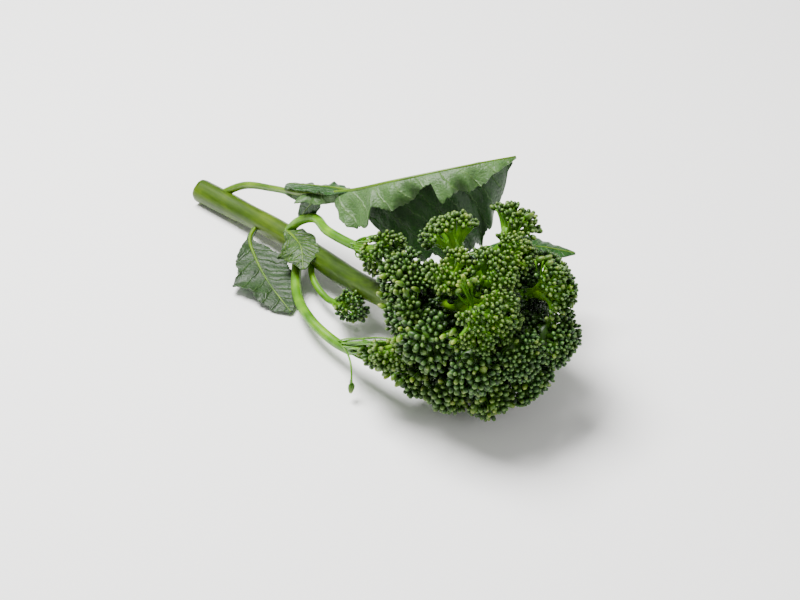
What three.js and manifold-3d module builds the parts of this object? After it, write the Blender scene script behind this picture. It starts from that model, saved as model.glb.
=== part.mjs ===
// One cut spear of sprouting broccoli, lying on its side on a flat surface.
//
// A round main stem runs from its cut end along the surface and rises into a loose, ball-shaped head.
// Inside the head it sends out short stalks, and each stalk opens into a crown of flower buds. Three side
// shoots with small crowns and four leaves grow from the stem.
//
// Sizes are in millimetres. +X runs from the cut end to the head, +Z is up and the surface is z = 0.
// The spear is laid out around the middle of its head, and the finished group is moved so that the
// origin is the middle of its footprint.
import * as THREE from "three";
import { ParametricGeometry } from "three/addons/geometries/ParametricGeometry.js";
import { mergeVertices } from "three/addons/utils/BufferGeometryUtils.js";
import Module from "manifold-3d";

const wasm = await Module();
wasm.setup();

// ---------------------------------------------------------------- driving dimensions

const clearance = 0.35; // air between pieces that grow against each other

// Main stem
const stemLength = 158; // cut end to the middle of the head
const stemCutRadius = 4.7;
const stemWaistRadius = 4.2; // where the stem is thinnest, on its way to the head
const stemNeckRadius = 4.5; // where the first stalks leave
const stemTipRadius = 2.6; // inside the head, where the last stalks leave

// Head
const headRadius = 28; // middle of the head to the widest ring of a crown
const pressDepth = 0.9; // how far the lowest crowns are pressed flat by the surface
const crownDepth = 0.78; // a crown's height above its widest ring, as a share of that ring's radius
const crownSkirt = 20; // degrees that a crown reaches below its widest ring
const outwardShare = 0.55; // how far a crown faces straight out, rather than the way that its stalk comes

// Stalks of the crowns
const stalkRadius = 1.9;
const stalkFlare = 0.44; // a stalk's radius where it meets its crown, as a share of the crown's radius
const stalkLeave = 13; // where the forward-leaning stalks leave the stem, behind the middle of the head
const stalkReturn = 26; // how far behind stalkLeave a stalk leaves that leans by mostLean
const mostLean = 130; // degrees
const stalkFork = 0.6; // where a stalk starts to open, as a share of its length

// Leaves
const bladeThickness = 0.9;
const ribThickness = 2.6; // midrib and leaf stalk of the large leaf
const smallRibThickness = 1.6;

// How finely the round shapes are faceted
const stemSides = 14;
const stalkSides = 6;
const crownSides = 12;
const bladeFacets = 5; // across each half of a leaf

// Each crown's place in the head: degrees that it leans from +X, degrees that it is turned about +X from
// +Y towards +Z, how much further out than the head's radius it stands, the radius of its widest ring, and
// how far it is turned to face forward, towards +X, or back.
const crowns = [
  ["floret_01", 125, 84, 0, 11, -0.35],
  ["floret_02", 133, 141, -1, 10, 0.3],
  ["floret_03", 92, 116, -3, 9.5, 0.1],
  ["floret_04", 68, 97, -2, 9.5, 0.1],
  ["floret_05", 98, 50, 5, 10, -0.15],
  ["floret_06", 76, 68, -1, 8.5, 0.2],
  ["floret_07", 47, 44, 1, 10.5, 0.1],
  ["floret_08", 25, -8, 0, 11.5, 0],
  ["floret_09", 50, 132, -2, 13, 1.7],
  ["floret_10", 80, 170, -1, 10, 0.2],
  ["floret_11", 46, -177, -1, 10.5, 0],
  ["floret_12", 15, 165, -1, 10, 0],
  ["floret_13", 76, -136, 0, 9, 0.1],
  ["floret_14", 50, -118, 0, 9.5, 0.1],
  ["floret_15", 38, -80, 0, 10, 0],
  ["floret_16", 102, -137, 1, 9.5, 0],
  ["floret_17", 112, 166, -2, 8.5, 0.2],
  ["floret_18", 112, -48, 0, 9.5, 0],
  ["floret_19", 106, 14, 0, 10.5, 0],
  ["floret_20", 73, 14, 0, 10.5, 0],
  ["floret_21", 88, -26, 1.5, 10.5, 0],
  ["floret_22", 62, -48, 0, 10, 0],
  ["floret_23", 90, -68, 2.2, 9.5, 0],
  ["floret_24", 92, -104, 1, 9.5, 0],
];

// ---------------------------------------------------------------- materials

const skin = new THREE.MeshStandardMaterial({ color: 0x7f9f3e, roughness: 0.38, metalness: 0 });
const stalkSkin = new THREE.MeshStandardMaterial({ color: 0x86a83a, roughness: 0.45, metalness: 0 });
const budGreen = new THREE.MeshStandardMaterial({ color: 0x3f6a33, roughness: 0.62, metalness: 0 });
const leafGreen = new THREE.MeshStandardMaterial({ color: 0x5c8055, roughness: 0.55, metalness: 0 });

// ---------------------------------------------------------------- solids

// A closed geometry as a solid that can be cut and joined.
function solidOf(geometry) {
  const bare = new THREE.BufferGeometry().setAttribute("position", geometry.getAttribute("position"));
  if (geometry.index) bare.setIndex(geometry.index);
  const merged = mergeVertices(bare, 1e-4);
  return new wasm.Manifold(
    new wasm.Mesh({
      numProp: 3,
      vertProperties: new Float32Array(merged.getAttribute("position").array),
      triVerts: new Uint32Array(merged.index.array),
    }),
  );
}

// A solid as a named mesh.
function meshOf(name, solid, material) {
  const made = solid.getMesh();
  const geometry = new THREE.BufferGeometry();
  geometry.setAttribute("position", new THREE.BufferAttribute(new Float32Array(made.vertProperties), 3));
  geometry.setIndex(new THREE.BufferAttribute(new Uint32Array(made.triVerts), 1));
  geometry.computeVertexNormals();
  const mesh = new THREE.Mesh(geometry, material);
  mesh.name = name;
  return mesh;
}

// The main body of a solid. A neighbour's cut can leave a loose sliver where two pieces graze each other.
function mainBody(solid) {
  return solid.decompose().reduce((best, body) => (body.volume() > best.volume() ? body : best));
}

// A closed skin over rings of points. Its first and last rings are shut by a point in their middle.
function skinOver(steps, around, pointAt, middleAt) {
  const rows = steps + 2;
  return new ParametricGeometry(
    (u, v, target) => {
      const row = Math.round(v * rows);
      const step = THREE.MathUtils.clamp(row - 1, 0, steps);
      const isEnd = row === 0 || row === rows;
      target.copy(isEnd ? middleAt(step) : pointAt(step, Math.round(u * around) % around));
    },
    around,
    rows,
  );
}

// A round tube along a path, with a radius that changes along it.
function taperedTube(path, radiusAt, sides, steps) {
  const frames = path.computeFrenetFrames(steps);
  const middleAt = (step) => path.getPointAt(step / steps);
  const pointAt = (step, side) => {
    const angle = (2 * Math.PI * side) / sides;
    const radius = radiusAt(step / steps);
    return middleAt(step)
      .addScaledVector(frames.normals[step], radius * Math.cos(angle))
      .addScaledVector(frames.binormals[step], radius * Math.sin(angle));
  };
  return skinOver(steps, sides, pointAt, middleAt);
}

// What is left of a solid on the near side of a plane whose normal points to the far side.
function keepBefore(solid, point, normal) {
  const far = 300;
  const block = new THREE.BoxGeometry(far, far, far);
  block.translate(0, 0, far / 2);
  block.applyQuaternion(new THREE.Quaternion().setFromUnitVectors(new THREE.Vector3(0, 0, 1), normal));
  block.translate(point.x, point.y, point.z);
  return solid.subtract(solidOf(block));
}

// A value between the points of a profile, a list of [place, value] in order of place.
function along(profile, place) {
  const next = profile.findIndex(([at]) => at >= place);
  if (next === 0) return profile[0][1];
  if (next === -1) return profile[profile.length - 1][1];
  const [[a, from], [b, to]] = [profile[next - 1], profile[next]];
  return from + ((to - from) * (place - a)) / (b - a);
}

// What is left of a solid above the surface that the spear lies on.
function aboveSurface(solid, grow) {
  return keepBefore(solid, new THREE.Vector3(0, 0, -grow), new THREE.Vector3(0, 0, -1));
}

// ---------------------------------------------------------------- the head's place

// The way that a crown stands out from the middle of the head.
function outwardOf([, lean, turn]) {
  const [tilt, spin] = [THREE.MathUtils.degToRad(lean), THREE.MathUtils.degToRad(turn)];
  const across = Math.sin(tilt);
  return new THREE.Vector3(Math.cos(tilt), across * Math.cos(spin), across * Math.sin(spin));
}

// The head lies as low as its lowest crowns let it.
const lowestReach = Math.max(
  ...crowns.map((entry) => crownDepth * entry[4] - outwardOf(entry).z * (headRadius + entry[3])),
);
const headHeight = lowestReach - pressDepth;
const headMiddle = new THREE.Vector3(0, 0, headHeight);

// A point by its distances from the middle of the head, or from the surface under it.
const fromHead = (x, y, z) => new THREE.Vector3(x, y, z).add(headMiddle);
const overSurface = (x, y, z) => new THREE.Vector3(x, y, z);

// ---------------------------------------------------------------- main stem

const stemPath = new THREE.CatmullRomCurve3(
  [
    overSurface(-stemLength, 0, stemCutRadius + 0.1),
    overSurface(-0.84 * stemLength, 2, stemCutRadius + 1.7),
    overSurface(-0.67 * stemLength, 2.5, stemCutRadius + 4.2),
    overSurface(-0.42 * stemLength, -1.5, 0.41 * headHeight),
    fromHead(-47, -3.5, -15.8),
    fromHead(-22, -3, -8),
    fromHead(-8, -2, -3),
  ],
  false,
  "centripetal",
);
const stemProfile = [
  [0, stemCutRadius],
  [0.35, stemWaistRadius],
  [0.6, stemWaistRadius],
  [0.75, stemNeckRadius],
  [1, stemTipRadius],
];
const stemSteps = 22;

function stem(grow) {
  return solidOf(taperedTube(stemPath, (u) => along(stemProfile, u) + grow, stemSides, stemSteps));
}

// The point of the stem's middle line that is nearest to a distance before or after the middle of the head.
function stemAt(x) {
  const places = Array.from({ length: 201 }, (_, i) => stemPath.getPointAt(i / 200));
  return places.reduce((best, p) => (Math.abs(p.x - x) < Math.abs(best.x - x) ? p : best)).clone();
}

// ---------------------------------------------------------------- crowns of buds

// Where a crown sits, which way its buds face, and where its stalk leaves the stem.
function placeCrown(entry) {
  const [name, lean, , beyond, radius, forward] = entry;
  const outward = outwardOf(entry);
  const middle = outward.clone().multiplyScalar(headRadius + beyond).add(headMiddle);
  const root = stemAt(-stalkLeave - (stalkReturn * lean) / mostLean);
  const fromRoot = middle.clone().sub(root).normalize();
  const facing = fromRoot.lerp(outward, outwardShare);
  facing.x += forward;
  facing.normalize();
  const underside = middle
    .clone()
    .addScaledVector(facing, -radius * crownDepth * Math.sin(THREE.MathUtils.degToRad(crownSkirt)));
  const straight = 0.45; // the share of the stalk that runs straight into its crown
  const bend = underside.clone().addScaledVector(facing, -straight * underside.distanceTo(root));
  const stalk = new THREE.QuadraticBezierCurve3(root, bend, middle);
  return { name, middle, facing, radius, stalk };
}

// The side shoots leave the stem lower down and bring their small crowns up beside the head.
function placeShoot(name, path, radius, turn) {
  const stalk = new THREE.CatmullRomCurve3(path, false, "centripetal");
  const facing = stalk.getTangentAt(1).add(turn).normalize();
  return { name, middle: path[path.length - 1], facing, radius, stalk };
}

const upperShoot = placeShoot(
  "upper_shoot",
  [
    stemAt(-108),
    fromHead(-101, 3.5, -16),
    fromHead(-93, 5, -11),
    fromHead(-82, 1.5, -9),
    fromHead(-67, 1, -7),
    fromHead(-49, 0, 0),
  ],
  8.5,
  new THREE.Vector3(0.2, -0.3, -0.3),
);
const lowerShoot = placeShoot(
  "lower_shoot",
  [stemAt(-92), overSurface(-82, -6, 7.5), overSurface(-70, -9.5, 6.5), overSurface(-55, -10, 11)],
  6,
  new THREE.Vector3(0, -0.3, 0.3),
);
const trailingShoot = placeShoot(
  "trailing_shoot",
  [
    stemAt(-99),
    overSurface(-82, -14, 5.5),
    overSurface(-62, -23.5, 8),
    overSurface(-46, -25.5, 8.5),
    fromHead(-29, -26, -22),
    fromHead(-12.5, -27.5, -9),
  ],
  9.5,
  new THREE.Vector3(0.1, -0.5, -0.9),
);
const florets = [...crowns.map(placeCrown), upperShoot, lowerShoot, trailingShoot];

// A crown before its neighbours press on it: a flattened ball, cut flat underneath.
function ball({ middle, facing, radius }, grow) {
  const height = radius * crownDepth;
  const start = -THREE.MathUtils.degToRad(crownSkirt);
  const arcSteps = 6;
  const profile = [new THREE.Vector2(0, height * Math.sin(start) - grow)];
  for (let i = 0; i <= arcSteps; i++) {
    const angle = start + ((Math.PI / 2 - start) * i) / arcSteps;
    const below = i === 0 ? grow : 0;
    const across = i === arcSteps ? 0 : (radius + grow) * Math.cos(angle);
    profile.push(new THREE.Vector2(across, (height + grow) * Math.sin(angle) - below));
  }
  profile[0].y = profile[1].y;
  const turned = new THREE.LatheGeometry(profile, crownSides);
  turned.applyQuaternion(new THREE.Quaternion().setFromUnitVectors(new THREE.Vector3(0, 1, 0), facing));
  turned.translate(middle.x, middle.y, middle.z);
  return solidOf(turned);
}

// A crown as it sits in the head: flat against each neighbour that it touches, and flat where it rests.
function crown(floret, grow) {
  let body = ball(floret, grow);
  for (const other of florets) {
    const apart = floret.middle.distanceTo(other.middle);
    if (other === floret || apart > floret.radius + other.radius + 2 * clearance) continue;
    const share = (apart ** 2 + floret.radius ** 2 - other.radius ** 2) / (2 * apart);
    const towards = other.middle.clone().sub(floret.middle).normalize();
    const border = floret.middle.clone().addScaledVector(towards, share - clearance / 2 + grow);
    body = keepBefore(body, border, towards);
  }
  return aboveSurface(body, grow);
}

// ---------------------------------------------------------------- stalks

const stalkSteps = 6;

// A stalk keeps its thickness for most of its way, and then opens towards its crown.
function stalk({ stalk: path, radius }, grow) {
  const end = radius * stalkFlare;
  const opening = (u) => Math.max(0, (u - stalkFork) / (1 - stalkFork));
  const radiusAt = (u) => stalkRadius + (end - stalkRadius) * opening(u) + grow;
  return aboveSurface(solidOf(taperedTube(path, radiusAt, stalkSides, stalkSteps)), grow);
}

// ---------------------------------------------------------------- leaves

// A leaf and its leaf stalk, along a midrib. near and far give the width of its two halves along it, and
// hang how far each half turns down from the midrib, in degrees, over the first few millimetres (fold).
function leaf({ midrib, near, far, hang, fold, rib }) {
  const path = new THREE.CatmullRomCurve3(midrib, false, "centripetal");
  const stepLength = 6;
  const steps = Math.max(10, Math.round(path.getLength() / stepLength));
  const halfRound = 2 * bladeFacets;
  const up = new THREE.Vector3(0, 0, 1);

  // Walks from the midrib to a share of one half's width, turning down on the way.
  function walk(step, share, isNear, side) {
    const u = step / steps;
    const tangent = path.getTangentAt(u);
    const farSide = up.clone().cross(tangent).normalize();
    const raised = tangent.clone().cross(farSide);
    const outward = farSide.multiplyScalar(isNear ? -1 : 1);
    const width = along(isNear ? near : far, u);
    const down = THREE.MathUtils.degToRad(hang[isNear ? 0 : 1]);
    const at = path.getPointAt(u);
    const parts = 12;
    let angle = 0;
    for (let i = 0; i < parts; i++) {
      const distance = ((i + 0.5) / parts) * share * width;
      angle = down * (1 - Math.exp(-distance / fold));
      const move = (share * width) / parts;
      at.addScaledVector(outward, move * Math.cos(angle)).addScaledVector(raised, -move * Math.sin(angle));
    }
    const distance = share * width;
    const ribPart = (rib / 2) * Math.exp(-((distance / (0.6 * rib)) ** 2));
    const half = share > 0.999 ? 0 : Math.max(bladeThickness / 2, ribPart);
    at.addScaledVector(outward, side * half * Math.sin(angle));
    return at.addScaledVector(raised, side * half * Math.cos(angle));
  }

  const pointAt = (step, j) => {
    const isTop = j <= halfRound;
    const towardsFar = isTop ? 1 - (2 * j) / halfRound : (2 * j) / halfRound - 3;
    return walk(step, Math.abs(towardsFar), towardsFar < 0, isTop ? 1 : -1);
  };
  const middleAt = (step) => path.getPointAt(step / steps);
  return aboveSurface(solidOf(skinOver(steps, 2 * halfRound, pointAt, middleAt)), 0);
}

const largeLeaf = {
  name: "large_leaf",
  midrib: [
    stemAt(8 - stemLength),
    overSurface(-0.88 * stemLength, 6.5, 14),
    overSurface(-0.77 * stemLength, 8, 21),
    fromHead(-0.64 * stemLength, 7, -5),
    fromHead(-80, 11, 5.5),
    fromHead(-65, 18, 14),
    fromHead(-52, 29, 20),
    fromHead(-43, 42, 22.5),
    fromHead(-39, 56, 21),
  ],
  near: [
    [0, 2],
    [0.3, 1.9],
    [0.4, 5],
    [0.5, 4],
    [0.56, 17],
    [0.6, 14],
    [0.64, 8],
    [0.72, 9],
    [0.78, 6],
    [0.87, 11],
    [0.94, 5],
    [1, 1],
  ],
  far: [
    [0, 2],
    [0.3, 1.9],
    [0.4, 6],
    [0.52, 7],
    [0.6, 24],
    [0.68, 34],
    [0.8, 35],
    [0.88, 35],
    [0.94, 29],
    [0.98, 18],
    [1, 5],
  ],
  hang: [76, 108],
  fold: 3.2,
  rib: ribThickness,
};

const stemLeaf = {
  name: "stem_leaf",
  midrib: [
    stemAt(-108),
    stemAt(-104).add(new THREE.Vector3(0, -2.5, 5)),
    stemAt(-98).add(new THREE.Vector3(0, -3.5, 5.6)),
    stemAt(-90).add(new THREE.Vector3(0, -5.5, 5.2)),
    stemAt(-83).add(new THREE.Vector3(0, -10, 1)),
  ],
  near: [[0, 1], [0.25, 1.2], [0.42, 6], [0.62, 8.5], [0.82, 7], [1, 0.8]],
  far: [[0, 1], [0.25, 1.2], [0.42, 5], [0.62, 7], [0.82, 6], [1, 0.8]],
  hang: [55, -20],
  fold: 4,
  rib: smallRibThickness,
};

const lowerLeaf = {
  name: "lower_leaf",
  midrib: [
    stemAt(-124),
    overSurface(-119, -6.5, 6),
    overSurface(-109, -12, 5),
    overSurface(-95, -17, 3.5),
    overSurface(-77, -21, 2),
  ],
  near: [[0, 1.4], [0.2, 1.5], [0.4, 9], [0.62, 12], [0.85, 8], [1, 0.8]],
  far: [[0, 1.4], [0.2, 1.5], [0.38, 8], [0.6, 11], [0.85, 8], [1, 0.8]],
  hang: [-14, -10],
  fold: 6,
  rib: smallRibThickness,
};

const crownLeaf = {
  name: "crown_leaf",
  midrib: [
    stemAt(-47),
    fromHead(-42, 9, -12),
    fromHead(-35, 20, -6),
    fromHead(-24, 32, -1),
    fromHead(-14, 43, 0.5),
    fromHead(-6, 55, -4),
  ],
  near: [[0, 1], [0.45, 1.2], [0.62, 6], [0.8, 6.5], [0.93, 3.5], [1, 0.6]],
  far: [[0, 1], [0.45, 1.2], [0.62, 6], [0.8, 6.5], [0.93, 3.5], [1, 0.6]],
  hang: [25, 25],
  fold: 5,
  rib: smallRibThickness,
};

// ---------------------------------------------------------------- the spear

const spear = new THREE.Group();
spear.add(meshOf("main_stem", stem(0), skin));

// Everything already placed, swollen by the clearance, which the next piece is cut back from.
let occupied = stem(clearance);
for (const floret of florets) {
  spear.add(meshOf(floret.name + "_buds", crown(floret, 0).subtract(occupied), budGreen));
}
for (const floret of florets) occupied = occupied.add(crown(floret, clearance));
for (const floret of florets) {
  const piece = mainBody(stalk(floret, 0).subtract(occupied));
  spear.add(meshOf(floret.name + "_stalk", piece, stalkSkin));
  occupied = occupied.add(stalk(floret, clearance));
}
for (const shape of [largeLeaf, stemLeaf, lowerLeaf, crownLeaf]) {
  spear.add(meshOf(shape.name, mainBody(leaf(shape).subtract(occupied)), leafGreen));
}

const footprint = new THREE.Box3().setFromObject(spear, true);
const footprintMiddle = footprint.getCenter(new THREE.Vector3());
spear.position.set(-footprintMiddle.x, -footprintMiddle.y, -footprint.min.z);

export default spear;
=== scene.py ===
import math
import random

import bmesh
import bpy
from mathutils import Matrix, Vector, noise


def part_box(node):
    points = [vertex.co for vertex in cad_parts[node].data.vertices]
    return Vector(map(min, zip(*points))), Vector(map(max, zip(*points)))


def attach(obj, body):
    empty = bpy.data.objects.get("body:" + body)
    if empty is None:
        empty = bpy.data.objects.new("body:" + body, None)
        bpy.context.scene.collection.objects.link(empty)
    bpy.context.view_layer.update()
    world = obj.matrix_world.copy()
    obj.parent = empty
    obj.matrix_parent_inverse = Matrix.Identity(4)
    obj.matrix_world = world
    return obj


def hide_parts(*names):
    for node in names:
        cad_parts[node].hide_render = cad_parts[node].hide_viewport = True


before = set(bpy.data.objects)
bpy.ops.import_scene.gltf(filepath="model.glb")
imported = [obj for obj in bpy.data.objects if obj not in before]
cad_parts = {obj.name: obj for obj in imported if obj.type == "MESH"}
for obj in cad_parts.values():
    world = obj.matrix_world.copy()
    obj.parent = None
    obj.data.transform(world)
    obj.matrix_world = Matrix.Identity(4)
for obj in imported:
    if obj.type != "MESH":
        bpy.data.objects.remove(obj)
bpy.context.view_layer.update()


# ---------------------------------------------------------------- where the head is, and the view of it

# The spear lies along X, from its cut end to its ball-shaped head. Nearly everything on it is placed by how
# far it is from the middle of the head, in millimetres, so that place is found first, from the boxes of the
# florets.
MM = 0.001


def mm(x, y, z):
    return Vector((x, y, z)) * MM


dome_names = [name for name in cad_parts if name.startswith("floret") and name.endswith("buds")]
floret_boxes = [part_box(name) for name in dome_names]
head_low = Vector([min(low[axis] for low, high in floret_boxes) for axis in range(3)])
head_high = Vector([max(high[axis] for low, high in floret_boxes) for axis in range(3)])

# The head's own middle is a little nearer to the cut end, and higher, than the middle of those boxes.
HEAD = (head_low + head_high) / 2 + mm(-3.2, 0.0, 0.5)


def from_head(x, y, z):
    return HEAD + mm(x, y, z)


# The same, but with the height counted from the surface that the spear lies on.
def over_surface(x, y, z):
    return Vector((HEAD.x, HEAD.y, 0.0)) + mm(x, y, z)


# A long lens looks down on the spear from the near side of its head.
VIEW_TURN = math.radians(48)
VIEW_DOWN = math.radians(38)
VIEW_DISTANCE = 718 * MM
VIEW_LEFT = 26.6 * MM
VIEW_ABOVE = 5.2 * MM
toward_camera = Vector(
    (math.sin(VIEW_TURN) * math.cos(VIEW_DOWN), -math.cos(VIEW_TURN) * math.cos(VIEW_DOWN), math.sin(VIEW_DOWN))
)
camera_right = Vector((math.cos(VIEW_TURN), math.sin(VIEW_TURN), 0.0))
camera_up = toward_camera.cross(camera_right)
aim = HEAD - camera_right * VIEW_LEFT + camera_up * VIEW_ABOVE
camera_data = bpy.data.cameras.new("camera")
camera_data.lens = 93.6
camera_data.clip_start = 0.05
camera = bpy.data.objects.new("camera", camera_data)
camera.matrix_world = Matrix.Translation(aim + toward_camera * VIEW_DISTANCE) @ Matrix(
    (camera_right, camera_up, toward_camera)
).transposed().to_4x4()
bpy.context.scene.collection.objects.link(camera)
bpy.context.scene.camera = camera


# Soft studio light: an overhead panel a little behind the head and to its left, and a weaker one at the
# front right.
def panel_light(name, place, size, watts):
    data = bpy.data.lights.new(name, "AREA")
    data.size = size
    data.energy = watts
    light = bpy.data.objects.new(name, data)
    light.location = place
    light.rotation_euler = (place - HEAD).to_track_quat("Z", "Y").to_euler()
    bpy.context.scene.collection.objects.link(light)


level_toward = Vector((toward_camera.x, toward_camera.y, 0.0)).normalized()
overhead = HEAD + Vector((0, 0, 0.75)) - camera_right * 0.28 - level_toward * 0.18
in_front = HEAD + Vector((0, 0, 0.45)) + camera_right * 0.5 + level_toward * 0.55
panel_light("overhead_panel", overhead, 0.42, 22.0)
panel_light("front_panel", in_front, 0.5, 2.5)


# ---------------------------------------------------------------- colours and the surface under the spear

# A plain pale studio floor with matt paint, far wider than the view. It is no part of the spear, which only
# lies on it. All colours are given as they look on a screen, and made linear here.
def linear(hex_colour):
    channels = [int(hex_colour[i : i + 2], 16) / 255 for i in (1, 3, 5)]
    return tuple(c / 12.92 if c <= 0.04045 else ((c + 0.055) / 1.055) ** 2.4 for c in channels) + (1.0,)


def new_material(name):
    material = bpy.data.materials.new(name)
    material.use_nodes = True
    return material, material.node_tree, material.node_tree.nodes["Principled BSDF"]


# Adds a node with its settings and links. A setting is a property of the node or the value of one of its
# inputs.
def add(tree, kind, settings=None, links=None):
    made = tree.nodes.new(kind)
    for key, value in (settings or {}).items():
        if isinstance(key, str) and hasattr(made, key):
            setattr(made, key, value)
        else:
            made.inputs[key].default_value = value
    for key, source in (links or {}).items():
        tree.links.new(source, made.inputs[key])
    return made


def ramp(tree, source, stops):
    made = add(tree, "ShaderNodeValToRGB", links={"Fac": source})
    made.color_ramp.elements[0].position = stops[0][0]
    made.color_ramp.elements[0].color = linear(stops[0][1])
    made.color_ramp.elements[1].position = stops[-1][0]
    made.color_ramp.elements[1].color = linear(stops[-1][1])
    for position, colour in stops[1:-1]:
        made.color_ramp.elements.new(position).color = linear(colour)
    return made.outputs["Color"]


def mix(tree, blend, amount, a, b):
    made = add(tree, "ShaderNodeMix", {"data_type": "RGBA", "blend_type": blend})
    for socket, value in ((0, amount), (6, a), (7, b)):
        if hasattr(value, "links"):
            tree.links.new(value, made.inputs[socket])
        else:
            made.inputs[socket].default_value = value
    return made.outputs[2]


floor_mesh = bpy.data.meshes.new("studio_floor")
bm = bmesh.new()
bmesh.ops.create_grid(bm, x_segments=1, y_segments=1, size=4.0)
bm.to_mesh(floor_mesh)
bm.free()
floor = bpy.data.objects.new("studio_floor", floor_mesh)
bpy.context.scene.collection.objects.link(floor)
paint, tree, shader = new_material("matt_floor_paint")
shader.inputs["Base Color"].default_value = linear("#fbfaf8")
shader.inputs["Roughness"].default_value = 0.8
floor.data.materials.append(paint)

world = bpy.data.worlds.new("studio")
world.use_nodes = True
world.node_tree.nodes["Background"].inputs["Color"].default_value = linear("#ffffff")
world.node_tree.nodes["Background"].inputs["Strength"].default_value = 0.4
bpy.context.scene.world = world


# ---------------------------------------------------------------- main stem

# A round, slightly ribbed stem, about 9 mm thick, cut square at one end. It bends up from the surface into
# the head and thins out there. Its skin is smooth, yellow-green and waxy, with faint pale streaks along its
# length.
STEM_LENGTH = 158
STEM_CUT_RADIUS = 4.7
STEM_RADII = [(0, STEM_CUT_RADIUS), (0.35, 4.2), (0.6, 4.2), (0.75, 4.5), (1, 2.6)]

# Skin nearer to the stem's middle line than this is left without ribs.
RIBLESS_RADIUS = 1.2

# Steps inwards in the stem's tip, which the head hides: the depth and the width of each.
TIP_STEPS = ((0.18, 0.35), (-0.22, 1.1), (-0.25, 1.3))


# A smooth line through points, as count evenly spread places.
def smooth_line(points, count):
    knots = [0.0]
    for a, b in zip(points, points[1:]):
        knots.append(knots[-1] + (b - a).length ** 0.5)
    ends = [points[0] * 2 - points[1]] + list(points) + [points[-1] * 2 - points[-2]]
    raw = []
    for i in range(len(points) - 1):
        p0, p1, p2, p3 = ends[i : i + 4]
        t0 = 0.0
        t1 = t0 + (p1 - p0).length ** 0.5
        t2 = t1 + (p2 - p1).length ** 0.5
        t3 = t2 + (p3 - p2).length ** 0.5
        for step in range(24):
            t = t1 + (t2 - t1) * step / 24
            a1 = p0.lerp(p1, (t - t0) / (t1 - t0))
            a2 = p1.lerp(p2, (t - t1) / (t2 - t1))
            a3 = p2.lerp(p3, (t - t2) / (t3 - t2))
            b1 = a1.lerp(a2, (t - t0) / (t2 - t0))
            b2 = a2.lerp(a3, (t - t1) / (t3 - t1))
            raw.append(b1.lerp(b2, (t - t1) / (t2 - t1)))
    raw.append(points[-1].copy())
    reach = [0.0]
    for a, b in zip(raw, raw[1:]):
        reach.append(reach[-1] + (b - a).length)
    line = []
    at = 0
    for i in range(count):
        wanted = reach[-1] * i / (count - 1)
        while at < len(raw) - 2 and reach[at + 1] < wanted:
            at += 1
        span = max(reach[at + 1] - reach[at], 1e-9)
        line.append(raw[at].lerp(raw[at + 1], min(1.0, (wanted - reach[at]) / span)))
    return line


def along(profile, place):
    if place <= profile[0][0]:
        return profile[0][1]
    for (a, low), (b, high) in zip(profile, profile[1:]):
        if place <= b:
            return low + (high - low) * (place - a) / (b - a)
    return profile[-1][1]


# Round tubes along lines, each a list of (place, radius), as one mesh.
def tubes(name, runs, sides):
    data = bpy.data.curves.new(name, "CURVE")
    data.dimensions = "3D"
    data.bevel_depth = 1.0
    data.bevel_resolution = (sides - 4) // 2
    data.use_fill_caps = True
    for run in runs:
        spline = data.splines.new("POLY")
        spline.points.add(len(run) - 1)
        for point, (place, radius) in zip(spline.points, run):
            point.co = (*place, 1.0)
            point.radius = radius
    carrier = bpy.data.objects.new(name, data)
    bpy.context.scene.collection.objects.link(carrier)
    bpy.context.view_layer.update()
    mesh = bpy.data.meshes.new_from_object(carrier.evaluated_get(bpy.context.evaluated_depsgraph_get()))
    bpy.data.objects.remove(carrier)
    bpy.data.curves.remove(data)
    bm = bmesh.new()
    bm.from_mesh(mesh)
    bmesh.ops.remove_doubles(bm, verts=bm.verts, dist=1e-6)
    bmesh.ops.recalc_face_normals(bm, faces=bm.faces)
    for face in bm.faces:
        face.smooth = True
    bm.to_mesh(mesh)
    bm.free()
    mesh.name = name
    return mesh


def new_piece(name, mesh, materials):
    made = bpy.data.objects.new(name, mesh)
    mesh.materials.clear()
    for material in materials:
        mesh.materials.append(material)
    bpy.context.scene.collection.objects.link(made)
    return made


stem_line = smooth_line(
    [
        over_surface(-STEM_LENGTH, 0, STEM_CUT_RADIUS + 0.1),
        over_surface(-0.84 * STEM_LENGTH, 2, STEM_CUT_RADIUS + 1.7),
        over_surface(-0.67 * STEM_LENGTH, 2.5, STEM_CUT_RADIUS + 4.2),
        Vector((HEAD.x, HEAD.y, 0.41 * HEAD.z)) + mm(-0.42 * STEM_LENGTH, -1.5, 0),
        from_head(-47, -3.5, -15.8),
        from_head(-22, -3, -8),
        from_head(-8, -2, -3),
    ],
    121,
)


def stem_at(x):
    wanted = HEAD.x + x * MM
    return min(stem_line, key=lambda place: abs(place.x - wanted)).copy()


stem_run = []
for i, place in enumerate(stem_line):
    stem_run.append((place, along(STEM_RADII, i / (len(stem_line) - 1)) * MM))
stem_mesh = tubes("main_stem_skin", [stem_run], 28)
bm = bmesh.new()
bm.from_mesh(stem_mesh)

# The cut end is a plain flat face. Beside it, one small face of the skin is pressed in by 0.1 mm.
skin_face = max(bm.faces, key=lambda face: (len(face.verts), -face.calc_center_median().x))
bmesh.ops.inset_region(bm, faces=[skin_face], thickness=0.45 * MM, depth=-0.1 * MM)
for depth, inset in TIP_STEPS:
    tip_face = next(iter(bm.faces))
    bmesh.ops.inset_region(bm, faces=[tip_face], thickness=inset * MM, depth=depth * MM)

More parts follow.
